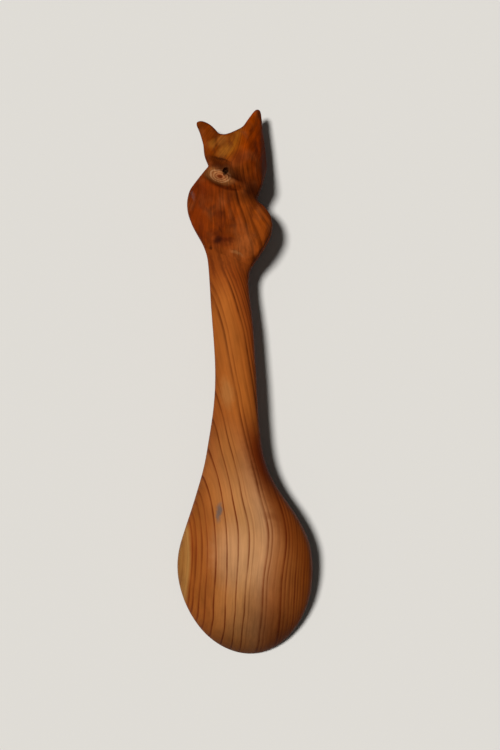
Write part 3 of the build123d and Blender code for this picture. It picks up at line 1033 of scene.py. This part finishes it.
# %% The knot
KNOT_TURN = -14
KNOT_TAPER = 0.35  # how fast its rings close in with depth
KNOT_HALF = (1.6, 1.0, 1 / KNOT_TAPER)  # of a ring 1 mm from the middle
KNOT_WOBBLE = 1.6  # mm that its rings wander from side to side
KNOT_WOBBLES = 0.3  # how many times in a mm
KNOT_REACH = 8.0
KNOT_EDGE = (3.2, 6.4)  # mm from its middle where it begins to blend into the wood, and where it has
KNOT_TONES = [  # mm from the knot's middle, across its narrow way, and the colour of its own small rings
    (0.0, "56220c"), (0.7, "6a2e10"), (1.15, "a4683e"), (1.5, "743c1a"), (1.95, "b87e4e"),
    (2.35, "884c24"), (2.8, "c08858"), (3.2, "8e5428"), (3.6, "965a2c"), (4.2, "885028"),
    (5.2, "743a12"), (8.0, "6a2c0a"),
]

uneven = wander(tree, place, KNOT_WOBBLE, KNOT_WOBBLES, detail=1.0)
ring = oval(tree, uneven, KNOT, KNOT_HALF, KNOT_TURN, KNOT_WOBBLE / 2)
knot_stops = [(at / KNOT_REACH, linear(shade)) for at, shade in KNOT_TONES]
share = add(tree, "Math", {0: ring, 1: 1 / KNOT_REACH}, operation="MULTIPLY")
knot_colour = add(tree, "ValToRGB", {"Fac": share}, stops=knot_stops)
colour = turn_into(tree, ring, KNOT_EDGE, knot_colour, colour)
print(len(KNOT_TONES), "tones in the knot")

# %% Marks and painted shade of the cat
# Stains and marks of the wood, with painted shade under the jaw, on the neck, nape and right of the head.
CAT_MARKS_AND_PAINTED_SHADE = FEET_STAINS + [
    ((-3.1, 190.3, 21), (3.0, 2.1, 8), 0, "30100a", 0.85),  # dark spot over the feet
    ((1.6, 190.2, 21), (4.6, 1.3, 8), -10, "4a1608", 0.55),  # its tail to the right
    ((6.6, 189.6, 21), (0.9, 4.6, 8), 8, "3a1408", 0.7),  # a short split in the haunch
    ((7.3, 186.6, 21), (1.3, 1.3, 8), 0, "3a1006", 0.7),  # foot of that split
    ((-6.8, 187.4, 20), (1.6, 1.1, 8), 0, "3c1608", 0.7),  # a speck at the left foot
    ((0.0, 226.0, 17), (9.0, 2.4, 8), -27, "3c1204", 0.6),  # painted shade under the jaw
    ((0.5, 226.7, 18), (6.5, 0.8, 8), -25, "2a0c04", 0.7),  # painted shade in the crease under the jaw
    ((13.0, 211.5, 17), (7.5, 5.5, 12), -53, "2c0e04", 0.7),  # painted shade in the groove between neck and haunch
    ((9.0, 219.6, 17), (10.0, 5.0, 12), -50, "401606", 0.65),  # painted shade on the side of the neck
    ((5.4, 220.8, 17), (3.6, 3.0, 8), -20, "421804", 0.5),  # painted shade beside the pit
    ((9.0, 226.5, 20), (6.0, 5.4, 10), 0, "521c06", 0.75),  # painted shade in the hollow of the cheek
    ((-1.0, 224.0, 16), (7.0, 2.2, 8), -20, "3e1406", 0.75),  # painted shade between the jaw and the knot
    ((-7.4, 210.6, 17), (11, 9.0, 10), 30, "481604", 0.75),  # left of the chest
    ((8.4, 188.0, 20), (6.5, 8.0, 10), 0, "a05424", 0.65),  # paler wood over the right foot
    ((6.0, 209.6, 19), (9.5, 5.0, 9), -15, "3c1606", 0.55),  # top of the chest
    ((0.8, 235.6, 20), (4.2, 3.0, 6), 30, "a86628", 0.4),  # pale forehead
    ((7.0, 217.2, 18), (9.0, 3.6, 10), -36, "421806", 0.6),  # painted shade in the throat, right of the knot
    ((15.4, 215.8, 13), (4.4, 9.0, 10), -8, "2c0e04", 0.85),  # painted shade on the nape
    ((-2.2, 235.2, 18), (0.9, 5.0, 8), -16, "56220a", 0.65),  # left line of the swirl
    ((5.0, 233.0, 20), (0.8, 8.0, 8), -25, "5a260a", 0.5),  # right line of the swirl
    ((-3.6, 234.4, 18), (2.4, 3.2, 6), -20, "9c5c1c", 0.6),  # pale left of the face
    ((2.0, 230.6, 20), (4.4, 3.2, 6), 30, "9c5c1c", 0.6),  # pale middle of the face
    ((4.8, 184.4, 20), (4.0, 1.0, 6), -27, "a06a3c", 0.5),  # a pale strip in the chip
    ((20.8, 228.0, 10), (3.4, 18, 9), 0, "2e0e02", 0.55),  # painted shade on the right flank of the head
    ((-13.0, 210.4, 14), (1.6, 4.2, 8), 12, "80706a", 0.85),  # a painted reflection: a grey glint on the shoulder
    ((2.0, 222.0, 15), (2.0, 1.7, 6), 0, "180804", 0.95),  # the pit: partly its own dark, partly painted shade
    ((0.9, 220.9, 15), (1.3, 0.9, 6), 35, "2a1008", 0.8),  # the pit's ragged corner, partly painted shade
]

colour = mark(tree, place, colour, CAT_MARKS_AND_PAINTED_SHADE)
colour, streaks = weather(tree, place, field, colour, streak=1.0, blotch=4, depth=0.4)
surface(tree, colour, streaks, roughness=0.62, shine=0.03)
print(len(CAT_MARKS_AND_PAINTED_SHADE), "marks,", cat_wood.name, "has", len(tree.nodes), "nodes")

# %% [markdown]
# ## The peg's wood
#
# The peg is split and whittled from straight pale wood, and is hidden. A plain colour would do, but the
# rings and fibres are there already and give it straight grain.

# %% Whittled peg
PEG_RING_WIDTH = 1.3
PEG_EDGE = 0.3
PEG_RINGS = [(-4 + PEG_RING_WIDTH * step, 0.55, 1.0) for step in range(9)]
PEG_TONES = [(-4, "c9a473"), (0, "d2b083"), (4, "c4a070")]
PEG_LATE_WOOD = "a27a48"

# Whittled ash: pale and dull, with straight lines.
peg_wood, tree, place, (x, _, _) = start_wood("straight_grained_ash_whittled")
field = bend(tree, place, x, across=8, along=60, amount=0.2)
rings = draw_rings(tree, place, field, PEG_RINGS, PEG_EDGE)
colour = tone(tree, field, PEG_TONES)
colour = add(tree, "MixRGB", {"Fac": rings, "Color1": colour, "Color2": linear(PEG_LATE_WOOD)})
colour, streaks = weather(tree, place, field, colour, streak=0.4, blotch=8, depth=0.08)
surface(tree, colour, streaks, roughness=0.72, shine=0.3)
print(peg_wood.name, "has", len(tree.nodes), "nodes")

# %% [markdown]
# ## Hand over
#
# Each piece gets its wood. The carved spoon and cat take the place of their CAD nodes, and the peg stays
# the CAD node that it is.

# %% Give each piece its wood
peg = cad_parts["joint_dowel"]
for piece, wood in ((carving, spoon_wood), (carved_cat, cat_wood), (peg, peg_wood)):
    piece.data.materials.clear()
    piece.data.materials.append(wood)
for piece, node, slot in ((carving, "spoon", "spoon_wood"), (carved_cat, "cat_figure", "cat_wood")):
    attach(piece, "root")
    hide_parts(node)
print("woods", [wood.name for wood in (spoon_wood, cat_wood, peg_wood)])
